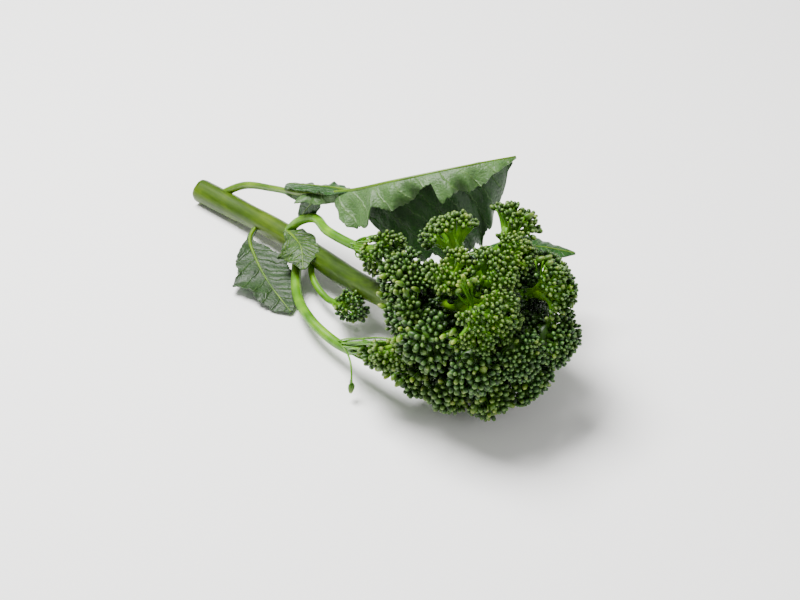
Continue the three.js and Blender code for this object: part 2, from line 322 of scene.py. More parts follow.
# Five faint ribs and eleven fainter ones turn slowly round the stem, and it swells a little here and there.
for vert in bm.verts:
    nearest = min(range(len(stem_line)), key=lambda i: (stem_line[i] - vert.co).length_squared)
    axis = stem_line[nearest]
    outward = vert.co - axis
    if outward.length < RIBLESS_RADIUS * MM:
        continue
    angle = math.atan2(outward.z, outward.y)
    rib = 0.022 * math.sin(5 * angle + 0.02 * nearest) + 0.012 * math.sin(11 * angle - 0.05 * nearest)
    swell = 0.035 * math.sin(0.21 * nearest + 0.6 * math.sin(angle))
    vert.co = axis + outward * (1 + rib + swell * min(1.0, nearest / 20))
bm.to_mesh(stem_mesh)
bm.free()

# Living plant skin: light goes a little way in, and a thin wax layer gives it a soft shine. Its streaks are
# about 1 mm wide and 17 mm long, and its patches of lighter green are about 22 mm wide.
stem_skin, tree, shader = new_material("waxy_stem_skin")
place = add(tree, "ShaderNodeTexCoord")
stretched = add(tree, "ShaderNodeMapping", {"Scale": (60, 900, 900)}, {"Vector": place.outputs["Object"]})
stretched_place = {"Vector": stretched.outputs["Vector"]}
streaks = add(tree, "ShaderNodeTexNoise", {"Scale": 1.0, "Detail": 4.0}, stretched_place)
patches = add(tree, "ShaderNodeTexNoise", {"Scale": 45.0, "Detail": 3.0}, {"Vector": place.outputs["Object"]})
green = ramp(tree, patches.outputs["Fac"], [(0.3, "#203800"), (0.5, "#365000"), (0.72, "#566e00")])
pale = ramp(tree, streaks.outputs["Fac"], [(0.35, "#9aa650"), (0.6, "#ffffff")])
tree.links.new(mix(tree, "MULTIPLY", 0.45, green, pale), shader.inputs["Base Color"])
bump = add(tree, "ShaderNodeBump", {"Strength": 0.35, "Distance": 0.0002}, {"Height": streaks.outputs["Fac"]})
tree.links.new(bump.outputs["Normal"], shader.inputs["Normal"])
shader.inputs["Roughness"].default_value = 0.42
shader.inputs["Specular IOR Level"].default_value = 0.25
shader.inputs["Subsurface Weight"].default_value = 0.12
shader.inputs["Subsurface Radius"].default_value = (0.6, 1.0, 0.25)
shader.inputs["Subsurface Scale"].default_value = 0.002

main_stem = new_piece("main_stem_skin", stem_mesh, [stem_skin])
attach(main_stem, "root")
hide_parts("main_stem")


# ---------------------------------------------------------------- florets

# A floret is a stalk that forks into branchlets. Each branchlet fans out into short flower stalks, and
# their closed buds make a small mound. The mounds make a dome that is open below, where the bright green
# fans show.
HEAD_RADIUS = 28
CROWN_DEPTH = 0.78
STALK_RADIUS = 1.9
FORK_DEPTH = 0.62
FAN_SLIMNESS = 0.62

# Mounds stand this far apart over a dome, and each reaches this far from its branchlet. A cap is the cosine
# of the angle that a dome or a mound goes round to. The mounds of the open florets are flatter, so their
# fans show.
MOUND_PITCH = 6.4
MOUND_REACH = 3.5
MOUND_CAP = 0.2
OPEN_MOUND_CAP = 0.52
DOME_CAP = 0.28
GROWN_SHARE = 0.25

# How near two buds may be, as a share of their width, and how far buds stay from the border with the next
# floret.
BUDS_APART = 0.92
BORDER_GAP = 0.6

# Smaller mounds make a skirt under each dense dome and fill the middle of the head, clear of the stem. Their
# buds have painted shade: their colour is made darker, as the shade deep in the head.
HIDDEN_SIZE = 0.8
PAINTED_SHADE_TONE = -0.6
SKIRT_MOUNDS = 7
SKIRT_DROP = 0.5
INNER_MOUNDS = 84
INNER_CAP = -0.95
INNER_RADIUS = 20.5
STEM_CLEARANCE = 8

# How many single buds are tried on each side shoot. One that finds no room is left out.
SINGLE_BUDS = 70

# Each floret's lean from +X and turn about it in degrees, how far outside the head's radius it stands, its
# radius, how far it faces forward, the width of its buds, and how old its buds are.
FLORETS = [
    ("floret_01", 125, 84, 0, 11, -0.6, 1.8, 0.1),
    ("floret_02", 133, 141, -1, 10, 0.3, 2.0, 0.05),
    ("floret_03", 92, 116, -3, 9.5, 0.1, 1.9, 0.2),
    ("floret_04", 68, 97, -2, 9.5, 0.1, 1.7, 0.12),
    ("floret_05", 98, 50, 5, 10, -0.15, 1.8, 0.12),
    ("floret_06", 76, 68, -1, 8.5, 0.2, 1.65, 0.2),
    ("floret_07", 47, 44, 1, 10.5, 0.1, 1.65, 0.05),
    ("floret_08", 25, -8, 0, 11.5, 0, 1.8, 0.0),
    ("floret_09", 50, 132, -2, 13, 1.7, 1.6, 0.12),
    ("floret_10", 80, 170, -1, 10, 0.2, 2.5, 0.04),
    ("floret_11", 46, -177, -1, 10.5, 0, 2.3, 0.0),
    ("floret_12", 15, 165, -1, 10, 0, 1.75, 0.0),
    ("floret_13", 76, -136, 0, 9, 0.1, 2.4, 0.06),
    ("floret_14", 50, -118, 0, 9.5, 0.1, 2.3, 0.08),
    ("floret_15", 38, -80, 0, 10, 0, 1.85, 0.0),
    ("floret_16", 102, -137, 1, 9.5, 0, 2.45, 0.1),
    ("floret_17", 112, 166, -2, 8.5, 0.2, 2.0, 0.05),
    ("floret_18", 112, -48, 0, 9.5, 0, 1.9, 0.02),
    ("floret_19", 106, 14, 0, 10.5, 0, 1.9, 0.02),
    ("floret_20", 73, 14, 0, 10.5, 0, 1.9, 0.02),
    ("floret_21", 88, -26, 1.5, 10.5, 0, 1.9, 0.02),
    ("floret_22", 62, -48, 0, 10, 0, 1.9, 0.02),
    ("floret_23", 90, -68, 2.2, 9.5, 0, 1.9, 0.0),
    ("floret_24", 92, -104, 1, 9.5, 0, 1.9, 0.0),
]

# Old buds stand in the gaps between these florets, on stalks of the first one: how many, and how far they
# stand outside the head's radius.
OLD_BUDS = [
    ("floret_10", "floret_17", 7, 7),
    ("floret_10", "floret_09", 5, 7.5),
    ("floret_09", "floret_03", 7, 7.5),
    ("floret_17", "floret_03", 4, 7),
    ("floret_06", "floret_05", 5, 8),
    ("floret_07", "floret_06", 4, 6.5),
    ("floret_08", "floret_07", 4, 5),
    ("floret_14", "floret_11", 3, 6),
    ("floret_16", "floret_10", 3, 7),
    ("floret_16", "trailing_shoot", 3, 6.5),
    ("floret_02", "floret_17", 3, 7),
]

# These show their fans from the side, so they have no mounds below their widest ring.
OPEN_BELOW = (
    "floret_01",
    "floret_03",
    "floret_04",
    "floret_05",
    "floret_06",
    "floret_07",
    "floret_09",
    "upper_shoot",
    "lower_shoot",
    "trailing_shoot",
)

chance = random.Random(11)


def bend(start, control, end, count):
    return [
        start * (1 - t) ** 2 + control * 2 * t * (1 - t) + end * t**2
        for t in (i / (count - 1) for i in range(count))
    ]


# Directions spread evenly over a cap about an axis, as far round as cap_cosine.
def spread(axis, count, cap_cosine, start):
    turn = axis.to_track_quat("Z", "Y")
    golden = math.pi * (3 - math.sqrt(5))
    for i in range(count):
        rise = 1 - (i + 0.5) / count * (1 - cap_cosine)
        flat = math.sqrt(max(0.0, 1 - rise * rise))
        around = start + i * golden
        yield turn @ Vector((flat * math.cos(around), flat * math.sin(around), rise))


# A floret's stalk leaves the stem the nearer to the cut end, the more the floret leans back.
def place_floret(name, lean, turn, beyond, radius, forward, bud_width, age):
    tilt, spin = math.radians(lean), math.radians(turn)
    outward = Vector((math.cos(tilt), math.sin(tilt) * math.cos(spin), math.sin(tilt) * math.sin(spin)))
    middle = HEAD + outward * (HEAD_RADIUS + beyond) * MM
    root = stem_at(-13 - 26 * lean / 130)
    facing = outward * 0.55 + (middle - root).normalized() * 0.45
    facing.x += forward
    facing.normalize()
    under = middle - facing * radius * CROWN_DEPTH * math.sin(math.radians(20)) * MM
    control = under - facing * 0.45 * (under - root).length
    fork = middle - facing * radius * FORK_DEPTH * MM
    line = bend(root, control, middle, 15)[:12]
    return dict(
        name=name,
        middle=middle,
        facing=facing,
        radius=radius * MM,
        bud=bud_width * MM,
        age=age,
        line=line,
        fork=fork,
        heart=[0.26 * radius, 0.5 * radius, 0.55 * radius, 0.2 * radius],
    )


# A side shoot has its own long stalk through points, and a slim heart where it forks.
def place_shoot(name, points, middle, radius, lift, bud_width, age):
    whole = smooth_line(points + [middle], 25)
    facing = ((whole[-1] - whole[-2]).normalized() + Vector(lift)).normalized()
    return dict(
        name=name,
        middle=middle,
        facing=facing,
        radius=radius * MM,
        bud=bud_width * MM,
        age=age,
        line=smooth_line(points, 25),
        fork=points[-1] + (middle - points[-1]) * 0.1,
        heart=[1.7, 1.5, 1.1, 0.5],
    )


florets = [place_floret(*row) for row in FLORETS]
florets.append(
    place_shoot(
        "upper_shoot",
        [
            stem_at(-108),
            from_head(-101, 3.5, -16),
            from_head(-93, 5, -11),
            from_head(-82, 1.5, -9),
            from_head(-67, 1, -7),
            from_head(-62, 0.5, -5),
        ],
        from_head(-49, 0, 0),
        8.5,
        (0.2, -0.3, -0.3),
        1.8,
        0.1,
    )
)
florets.append(
    place_shoot(
        "lower_shoot",
        [stem_at(-92), over_surface(-82, -6, 7.5), over_surface(-70, -9.5, 6.5), over_surface(-62, -10, 8.5)],
        over_surface(-55, -10, 11),
        6,
        (0, -0.3, 0.3),
        1.7,
        0.0,
    )
)
florets.append(
    place_shoot(
        "trailing_shoot",
        [
            stem_at(-99),
            over_surface(-82, -14, 5.5),
            over_surface(-62, -23.5, 8),
            over_surface(-46, -25.5, 8.5),
            over_surface(-38, -25.8, 10),
        ],
        from_head(-12.5, -27.5, -9),
        9.5,
        (0.1, -0.5, -0.9),
        2.1,
        0.12,
    )
)
floret_named = {floret["name"]: floret for floret in florets}

# Each hidden mound in the middle of the head grows on the floret that is nearest to it.
for floret in florets:
    floret["inner"] = []
for way in spread(Vector((1, 0, 0)), INNER_MOUNDS, INNER_CAP, 0.0):
    place = HEAD + way * INNER_RADIUS * MM
    if min((place - point).length for point in stem_line) > STEM_CLEARANCE * MM:
        nearest = min(florets[: len(FLORETS)], key=lambda floret: (floret["middle"] - place).length)
        nearest["inner"].append((place, way))


# One closed bud: four sepals meet in a blunt tip. tip runs from 0 at its base to 1 at its end. tone is its
# age, from 0 to 1, and is below 0 for the small buds deep between the florets, where it paints shade on them.
def bud_shape(name, length, taper):
    mesh = bpy.data.meshes.new(name)
    bm = bmesh.new()
    bmesh.ops.create_uvsphere(bm, u_segments=8, v_segments=6, radius=0.5)
    tip = bm.verts.layers.float.new("tip")
    bm.verts.layers.float.new("tone")
    for vert in bm.verts:
        height = vert.co.z + 0.5
        vert[tip] = height
        seam = 0.5 - 0.5 * math.cos(4 * math.atan2(vert.co.y, vert.co.x))
        width = (1 - 0.2 * seam * height) * (1 + taper * (0.5 - height))
        vert.co.x *= width
        vert.co.y *= width
        vert.co.z = (vert.co.z - 0.08 * max(0.0, height - 0.85)) * length
    for face in bm.faces:
        face.smooth = True
    bm.to_mesh(mesh)
    bm.free()
    return mesh


YOUNG_BUD = bud_shape("young_bud", 1.42, -0.08)
OLD_BUD = bud_shape("old_bud", 1.7, 0.35)


def put_bud(bm, shape, place, direction, width, tone):
    turn = direction.to_track_quat("Z", "Y").to_matrix().to_4x4()
    spin = Matrix.Rotation(chance.uniform(0, math.tau), 4, "Z")
    size = Matrix.Diagonal((width, width, width * chance.uniform(0.88, 1.15), 1))
    bud = shape.copy()
    bud.transform(Matrix.Translation(place) @ turn @ spin @ size)
    bud.attributes["tone"].data.foreach_set("value", [tone] * len(bud.vertices))
    bm.from_mesh(bud)
    bpy.data.meshes.remove(bud)


# Buds that already have a place, by which cell of a coarse grid they are in.
CELL = 3 * MM
taken = {}


def cell_of(place):
    return tuple(int(c // CELL) for c in place)


def claim(place, width):
    taken.setdefault(cell_of(place), []).append((place, width))


def has_room(place, width):
    x, y, z = cell_of(place)
    for dx in (-1, 0, 1):
        for dy in (-1, 0, 1):
            for dz in (-1, 0, 1):
                for other, other_width in taken.get((x + dx, y + dy, z + dz), ()):
                    if (other - place).length < BUDS_APART * (width + other_width) / 2:
                        return False
    return True


# A bud stays on its own floret's side of the borders with the other florets, and above the surface.
def is_inside(floret, place, width):
    if place.z < 0.75 * width:
        return False
    for other in florets:
        if other is floret:
            continue
        apart = (other["middle"] - floret["middle"]).length
        if apart > floret["radius"] + other["radius"] + 0.7 * MM:
            continue
        share = (apart**2 + floret["radius"] ** 2 - other["radius"] ** 2) / (2 * apart)
        towards = (other["middle"] - floret["middle"]) / apart
        if (place - floret["middle"]).dot(towards) > share - BORDER_GAP * MM:
            return False
    return True


def jitter(reach):
    return Vector([chance.uniform(-reach, reach) for _ in range(3)])


# One flower stalk as a tube's run, which widens at the end that holds the bud.
def stalklet(points, radius, end_radius):
    return [(point, radius * MM) for point in points[:-1]] + [(points[-1], end_radius * MM)]


# Bud skin: dark green with a pale waxy bloom that is thickest on the tip, and yellow-green when the bud is
# old. Its mottle is about a millimetre wide. The small buds deep in the head get painted shade: their
# colour is darkened to stand for the shade there.
bud_skin, tree, shader = new_material("bud_skin")
tip = add(tree, "ShaderNodeAttribute", {"attribute_name": "tip"}).outputs["Fac"]
tone = add(tree, "ShaderNodeAttribute", {"attribute_name": "tone"}).outputs["Fac"]
place = add(tree, "ShaderNodeTexCoord").outputs["Object"]
YOUNG_COLOURS = [(0.0, "#234b00"), (0.25, "#0b2602"), (0.62, "#153808"), (0.86, "#335c1a"), (1.0, "#668a46")]
OLD_COLOURS = [(0.0, "#3f7402"), (0.5, "#5f8c0c"), (0.85, "#8fa838"), (1.0, "#b8b856")]
young = ramp(tree, tip, YOUNG_COLOURS)
old = ramp(tree, tip, OLD_COLOURS)
skin = mix(tree, "MIX", tone, young, old)
mottle = add(tree, "ShaderNodeTexNoise", {"Scale": 900.0, "Detail": 2.0}, {"Vector": place})
shade = ramp(tree, mottle.outputs["Fac"], [(0.3, "#b5bfae"), (0.7, "#ffffff")])
mottled = mix(tree, "MULTIPLY", 0.6, skin, shade)
# Painted shade: a tone below 0 darkens the bud colour, down to a tenth at -1.
painted_shade_range = {"From Min": -1.0, "From Max": 0.0, "To Min": 0.1, "To Max": 1.0}
deep = add(tree, "ShaderNodeMapRange", painted_shade_range, {"Value": tone})
tree.links.new(mix(tree, "MULTIPLY", 1.0, mottled, deep.outputs["Result"]), shader.inputs["Base Color"])
shader.inputs["Roughness"].default_value = 0.42
shader.inputs["Specular IOR Level"].default_value = 0.35


# Skin of flower stalks, branchlets and stalks, slightly see-through. Its green comes in soft patches about
# 6 mm wide.
def stalk_material(name, colours):
    material, tree, shader = new_material(name)
    place = add(tree, "ShaderNodeTexCoord").outputs["Object"]
    patches = add(tree, "ShaderNodeTexNoise", {"Scale": 160.0, "Detail": 3.0}, {"Vector": place})
    green = ramp(tree, patches.outputs["Fac"], list(zip((0.3, 0.52, 0.75), colours)))
    tree.links.new(green, shader.inputs["Base Color"])
    shader.inputs["Roughness"].default_value = 0.42
    shader.inputs["Specular IOR Level"].default_value = 0.35
    shader.inputs["Subsurface Weight"].default_value = 0.2
    shader.inputs["Subsurface Radius"].default_value = (0.6, 1.0, 0.15)
    shader.inputs["Subsurface Scale"].default_value = 0.001
    return material


# The open florets show bright yellow-green fans. The dense florets get a darker copy of the same stalk skin,
# which paints the shade between their buds.
tender_skin = stalk_material("tender_stalk_skin", ("#3c6c00", "#508400", "#6e9e02"))
shaded_skin = stalk_material("painted_shade_stalk_skin", ("#1a3800", "#2a4e00", "#406a00"))

for floret in florets:
    middle, facing, radius, fork = floret["middle"], floret["facing"], floret["radius"], floret["fork"]
    line = floret["line"]
    stout = min(1.0, radius / (9 * MM))
    stalk_run = []
    for i, place in enumerate(line):
        flare = 1 + 0.5 * math.exp(-i / 1.2)
        stalk_run.append((place, STALK_RADIUS * stout * flare * MM))
    is_fan = floret["name"] in OPEN_BELOW and floret["name"].startswith("floret")
    slim = FAN_SLIMNESS if is_fan else 1.0
    for share, width in zip((0, 0.4, 0.75, 1.0), floret["heart"]):
        stalk_run.append((fork.lerp(middle, share), width * slim * MM))
    thick_runs = [stalk_run]
    thin_runs = []
    bm = bmesh.new()

    mounds = max(5, round(math.tau * (1 - DOME_CAP) * radius**2 / (0.87 * (MOUND_PITCH * MM) ** 2)))
    ways = [(way, 1.0, 0.0) for way in spread(facing, mounds, DOME_CAP, chance.uniform(0, math.tau))]
    if floret["name"] not in OPEN_BELOW:
        turn = chance.uniform(0, math.tau)
        for i in range(SKIRT_MOUNDS):
            side = facing.orthogonal().normalized()
            side.rotate(Matrix.Rotation(turn + i * math.tau / SKIRT_MOUNDS, 3, facing))
            ways.append((side, HIDDEN_SIZE, SKIRT_DROP))
    places = []
    for mound, size, sunk in ways:
        mound = (mound + jitter(0.15)).normalized()
        rise = mound.dot(facing)
        side = mound - facing * rise
        swell = chance.uniform(0.92, 1.07)
        across = side * radius * swell * size
        top = middle + across + facing * (rise * CROWN_DEPTH * swell - sunk) * radius
        neck = fork.lerp(middle, chance.uniform(-0.1, 0.6) - sunk)
        places.append((top, (side + facing * (rise + 0.6)).normalized(), size, neck))
    for top, axis in floret["inner"]:
        places.append((top, axis, HIDDEN_SIZE, line[-1]))

    # Each mound's branchlet ends in a small fleshy cone, its hub, from which the flower stalks fan out.
    mound_cap = OPEN_MOUND_CAP if is_fan else MOUND_CAP
    for top, axis, size, neck in places:
        reach = min(MOUND_REACH * MM, radius * 0.46) * chance.uniform(0.85, 1.15)
        hub = top - axis * reach
        branch = bend(neck, neck.lerp(hub, 0.4) + facing * 0.8 * MM, hub, 6)
        branch_run = [(p, (1.15 - 0.3 * i / 5) * stout * MM) for i, p in enumerate(branch[:-1])]
        branch_run.append((hub, 0.34 * reach))
        branch_run.append((hub + axis * 0.22 * reach, 0.44 * reach))
        branch_run.append((hub + axis * 0.42 * reach, 0.34 * reach))
        branch_run.append((hub + axis * 0.52 * reach, 0.1 * reach))
        scale = chance.uniform(0.9, 1.1) * (0.5 + 0.5 * size)
        mound_age = floret["age"] * chance.uniform(0.3, 1.8)
        room = math.tau * reach**2 * (1 - mound_cap) / (0.72 * (floret["bud"] * scale) ** 2)
        count = max(5, round(room))
        grown = 0
        for j, way in enumerate(spread(axis, count, mound_cap, chance.uniform(0, math.tau))):
            way = (way + jitter(0.12)).normalized()
            edge = j / count
            width = floret["bud"] * scale * (0.74 + 0.4 * edge) * chance.uniform(0.86, 1.12)
            place = hub + way * reach * chance.uniform(0.9, 1.1)
            if not is_inside(floret, place, width) or not has_room(place, width):
                continue
            claim(place, width)
            grown += 1
            direction = (way + axis * 0.2 + jitter(0.15)).normalized()
            older = max(0.0, chance.gauss(0.0, 0.1))
            ripe = 0.35 if chance.random() < 0.04 else 0.0
            # Buds of the hidden mounds get the painted-shade tone.
            bud_tone = min(1.0, mound_age + older + ripe) if size == 1.0 else PAINTED_SHADE_TONE
            put_bud(bm, YOUNG_BUD, place, direction, width, bud_tone)
            base = place - direction * width * 0.6
            foot = hub - axis * reach * chance.uniform(0.0, 0.45)
            thin = width * 0.14
            points = bend(foot, foot.lerp(base, 0.5) + axis * reach * 0.06, base, 4)
            thin_runs.append(list(zip(points, (thin * 1.3, thin, thin, thin * 1.8))))

        # Where too few buds found room, the cone would show bare, so only the branchlet is kept, or nothing.
        if grown > GROWN_SHARE * count:
            thick_runs.append(branch_run)
        elif grown:
            thick_runs.append(branch_run[:6])

    # Old, longer buds stand up from the gap to the next floret.
    for first, second, count, height in OLD_BUDS:
        if first != floret["name"]:
            continue
        gap = (middle + floret_named[second]["middle"]) / 2
        outward = (gap - HEAD).normalized()
        for _ in range(count):
            out = (outward + jitter(0.6)).normalized()
            place = HEAD + outward * (HEAD_RADIUS + height) * MM + jitter(3.6 * MM)
            width = chance.uniform(1.7, 2.3) * MM
            if place.z < width or not has_room(place, width * 0.8):
                continue
            claim(place, width)
            put_bud(bm, OLD_BUD, place, out, width, chance.uniform(0.35, 1.0))
            base = place - out * width * 0.78
            foot = fork.lerp(middle, chance.uniform(0.2, 0.6))
            points = bend(foot, foot.lerp(base, 0.6) - outward * 1.5 * MM, base, 7)
            thin_runs.append(stalklet(points, 0.33, 0.6))

    # The side shoots also carry single buds on long curved stalks.
    if "shoot" in floret["name"]:
        for _ in range(SINGLE_BUDS):
            foot = line[-1].lerp(line[-4], chance.random())
            turned = Matrix.Rotation(chance.uniform(0, math.tau), 3, facing)
            side = (facing.orthogonal() @ turned).normalized()
            back = chance.uniform(0.0, 0.9)
            swell = chance.uniform(0.7, 1.05)
            place = fork.lerp(middle, 1 - 0.6 * back) + side * radius * (1 - 0.45 * back) * swell
            width = floret["bud"] * chance.uniform(0.75, 1.1)
            if not is_inside(floret, place, width) or not has_room(place, width):
                continue
            claim(place, width)
            out = (side + facing * 0.6).normalized()
            put_bud(bm, YOUNG_BUD, place, out, width, chance.uniform(0.0, 0.5))
            base = place - out * width * 0.52
            bow = foot.lerp(base, 0.5) + side * chance.uniform(1.0, 5.0) * MM + jitter(1.5 * MM)
            thin_runs.append(stalklet(bend(foot, bow, base, 9), 0.3, 0.45))

    # One old bud hangs from the trailing shoot on a long stalk, a few millimetres over the surface.
    if floret["name"] == "trailing_shoot":
        hanging = over_surface(-25.8, -35.7, 5.5)
        points = bend(over_surface(-45, -25.2, 9), over_surface(-27, -33, 19), hanging + mm(0, 0, 2.4), 13)
        thin_runs.append(stalklet(points, 0.34, 0.6))
        put_bud(bm, OLD_BUD, hanging, Vector((0, -0.2, -1)).normalized(), 2.6 * MM, 0.5)

    bud_mesh = bpy.data.meshes.new(floret["name"] + "_flower_buds")
    bm.to_mesh(bud_mesh)
    bm.free()
    buds = new_piece(floret["name"] + "_flower_buds", bud_mesh, [bud_skin])
    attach(buds, "root")
    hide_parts(floret["name"] + "_buds")

    bm = bmesh.new()
    for part in (tubes("thick", thick_runs, 12), tubes("thin", thin_runs, 6)):
        bm.from_mesh(part)
        bpy.data.meshes.remove(part)
    branch_mesh = bpy.data.meshes.new(floret["name"] + "_branches")
    bm.to_mesh(branch_mesh)
    bm.free()
    # Painted shade: the dense florets' stalks get the darker copy of the skin.
    branch_skin = tender_skin if floret["name"] in OPEN_BELOW else shaded_skin
    branches = new_piece(floret["name"] + "_branches", branch_mesh, [branch_skin])
    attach(branches, "root")
    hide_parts(floret["name"] + "_stalk")


# ---------------------------------------------------------------- leaves

# A leaf is one thin blade on a midrib. Its upper side is dark green and its underside pale with a waxy
# bloom, where the veins stand out. The margin is toothed and wavy. The large leaf hangs over its midrib
# with its underside out.
BLADE_THICKNESS = 0.5
BEND_STEPS = 12

# The skin of one side of a blade: thin and matt, and slightly see-through. vein_place holds how many side
# veins a point is along the midrib, and how many millimetres from it. A side vein runs where its first
# number, with a slow wander added, is whole. flat_place is the point's place on the flat leaf, in
# millimetres. The net between the veins has cells about 2 mm wide, and the grain is about 0.6 mm wide.
def leaf_skin(name, base, light, vein_colour, vein_strength, roughness):
    material, tree, shader = new_material(name)
    flat = add(tree, "ShaderNodeAttribute", {"attribute_name": "flat_place"}).outputs["Vector"]
    along_veins = add(tree, "ShaderNodeAttribute", {"attribute_name": "vein_place"}).outputs["Vector"]
    wander = add(tree, "ShaderNodeTexNoise", {"Scale": 0.25, "Detail": 2.0}, {"Vector": flat})
    count = add(tree, "ShaderNodeSeparateXYZ", links={"Vector": along_veins})
    bent = add(tree, "ShaderNodeMath", {"operation": "MULTIPLY_ADD", 1: 0.5}, {0: wander.outputs["Fac"]})
    tree.links.new(count.outputs["X"], bent.inputs[2])
    from_vein = add(tree, "ShaderNodeMath", {"operation": "PINGPONG", 1: 0.5}, {0: bent.outputs["Value"]})
    vein_edges = [(0.0, "#ffffff"), (0.03, "#b0b0b0"), (0.075, "#000000")]
    vein = ramp(tree, from_vein.outputs["Value"], vein_edges)
    patches = add(tree, "ShaderNodeTexNoise", {"Scale": 0.16, "Detail": 4.0}, {"Vector": flat})
    ground = ramp(tree, patches.outputs["Fac"], [(0.32, base), (0.68, light)])
    net_cells = {"feature": "DISTANCE_TO_EDGE", "Scale": 0.55}
    net = add(tree, "ShaderNodeTexVoronoi", net_cells, {"Vector": flat})
    netted = ramp(tree, net.outputs["Distance"], [(0.0, vein_colour), (0.1, "#000000")])
    fine = mix(tree, "LIGHTEN", vein_strength * 0.35, ground, netted)
    strength = add(tree, "ShaderNodeMath", {"operation": "MULTIPLY", 1: vein_strength}, {0: vein})
    veined = mix(tree, "MIX", strength.outputs["Value"], fine, linear(vein_colour))
    tree.links.new(veined, shader.inputs["Base Color"])
    grain = add(tree, "ShaderNodeTexNoise", {"Scale": 1.6, "Detail": 3.0}, {"Vector": flat})
    relief = {0: grain.outputs["Fac"], 1: net.outputs["Distance"]}
    cells = add(tree, "ShaderNodeMath", {"operation": "ADD"}, relief)
    height = add(tree, "ShaderNodeMath", {"operation": "ADD"}, {0: cells.outputs["Value"], 1: vein})
    raised = {"Height": height.outputs["Value"]}
    bump = add(tree, "ShaderNodeBump", {"Strength": 0.8, "Distance": 0.0003}, raised)
    tree.links.new(bump.outputs["Normal"], shader.inputs["Normal"])
    shader.inputs["Roughness"].default_value = roughness
    shader.inputs["Subsurface Weight"].default_value = 0.15
    shader.inputs["Subsurface Radius"].default_value = (0.4, 0.8, 0.1)
    shader.inputs["Subsurface Scale"].default_value = 0.001
    return material


# The underside has the pale bloom, and the upper side is darker and shinier. The young leaf on the stem is
# thin and yellower. The low leaf's underside is a darker copy of the underside, with painted shade.
leaf_under = leaf_skin("leaf_underside", "#2f501a", "#466a31", "#749254", 0.35, 0.5)
leaf_upper = leaf_skin("leaf_upper_side", "#0c3402", "#194a06", "#3f7012", 0.45, 0.42)
leaf_pale = leaf_skin("young_leaf_skin", "#1c3805", "#2d5013", "#648826", 0.8, 0.5)
leaf_under_painted_shade = leaf_skin("painted_shade_leaf_underside", "#182e0c", "#243f18", "#425f24", 0.35, 0.5)

# Skin of a midrib, smooth and yellow-green like the stem's, in patches about 8 mm wide.
leaf_rib, tree, shader = new_material("leaf_rib_skin")
place = add(tree, "ShaderNodeTexCoord").outputs["Object"]
patches = add(tree, "ShaderNodeTexNoise", {"Scale": 120.0, "Detail": 3.0}, {"Vector": place})
green = ramp(tree, patches.outputs["Fac"], [(0.3, "#385c00"), (0.7, "#648604")])
tree.links.new(green, shader.inputs["Base Color"])
shader.inputs["Roughness"].default_value = 0.4
shader.inputs["Subsurface Weight"].default_value = 0.15
shader.inputs["Subsurface Radius"].default_value = (0.6, 1.0, 0.15)
shader.inputs["Subsurface Scale"].default_value = 0.001


